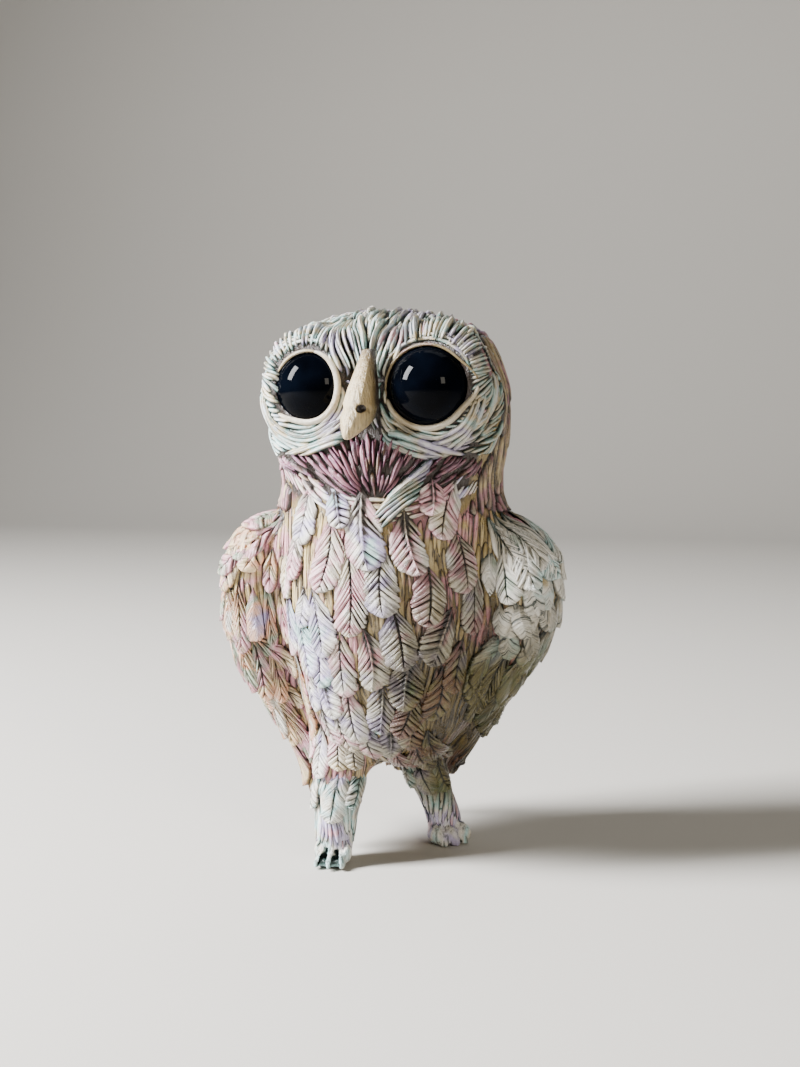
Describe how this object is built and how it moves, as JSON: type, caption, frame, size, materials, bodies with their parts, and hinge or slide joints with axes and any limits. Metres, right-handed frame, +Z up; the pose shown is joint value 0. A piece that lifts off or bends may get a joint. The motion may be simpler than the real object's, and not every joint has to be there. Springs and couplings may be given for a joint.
{
  "type": "owl figurine",
  "caption": "Standing hand-modelled owl with a round face, large dark glass eyes, a hooked beak, feathered body, folded wings, a tail and feathered legs in mid-step.",
  "frame": {"origin": "middle of the bounding box's foot, on the plane of the two soles", "axes": "+Z up from the soles to the crown; the owl faces -Y, and +X is towards its own left wing"},
  "size_m": [0.0896, 0.0737, 0.1365],
  "materials": {
    "body_clay": "satin",
    "face_clay": "satin",
    "wing_clay": "satin",
    "lid_clay": "satin",
    "beak_clay": "satin",
    "eye_glass": "gloss",
    "foil": "satin",
    "wire": "satin"
  },
  "bodies": {
    "root": {"beak": "beak_clay", "breast_feather_01": "body_clay", "breast_feather_02": "body_clay", "breast_feather_03": "body_clay", "breast_feather_04": "body_clay", "breast_feather_05": "body_clay", "breast_feather_06": "body_clay", "breast_feather_07": "body_clay", "breast_feather_08": "body_clay", "breast_feather_09": "body_clay", "breast_feather_10": "body_clay", "breast_feather_11": "body_clay", "breast_feather_12": "body_clay", "breast_feather_13": "body_clay", "breast_feather_14": "body_clay", "breast_feather_15": "body_clay", "breast_feather_16": "body_clay", "breast_feather_17": "body_clay", "breast_feather_18": "body_clay", "breast_feather_19": "body_clay", "breast_feather_20": "body_clay", "breast_feather_21": "body_clay", "chin_tuft": "face_clay", "head_clay": "face_clay", "head_foil_core": "foil", "left_covert_1": "wing_clay", "left_covert_2": "wing_clay", "left_covert_3": "wing_clay", "left_eye": "eye_glass", "left_face_disc": "face_clay", "left_foot": "body_clay", "left_leg": "body_clay", "left_leg_wire": "wire", "left_lower_lid": "lid_clay", "left_primary_1": "wing_clay", "left_primary_2": "wing_clay", "left_primary_3": "wing_clay", "left_upper_lid": "lid_clay", "left_wing": "wing_clay", "neck_wire": "wire", "right_covert_1": "wing_clay", "right_covert_2": "wing_clay", "right_covert_3": "wing_clay", "right_eye": "eye_glass", "right_face_disc": "face_clay", "right_foot": "body_clay", "right_leg": "body_clay", "right_leg_wire": "wire", "right_lower_lid": "lid_clay", "right_primary_1": "wing_clay", "right_primary_2": "wing_clay", "right_primary_3": "wing_clay", "right_upper_lid": "lid_clay", "right_wing": "wing_clay", "tail": "wing_clay", "tail_feather_1": "wing_clay", "tail_feather_2": "wing_clay", "tail_feather_3": "wing_clay", "torso_clay": "body_clay", "torso_foil_core": "foil"}
  },
  "joints": []
}
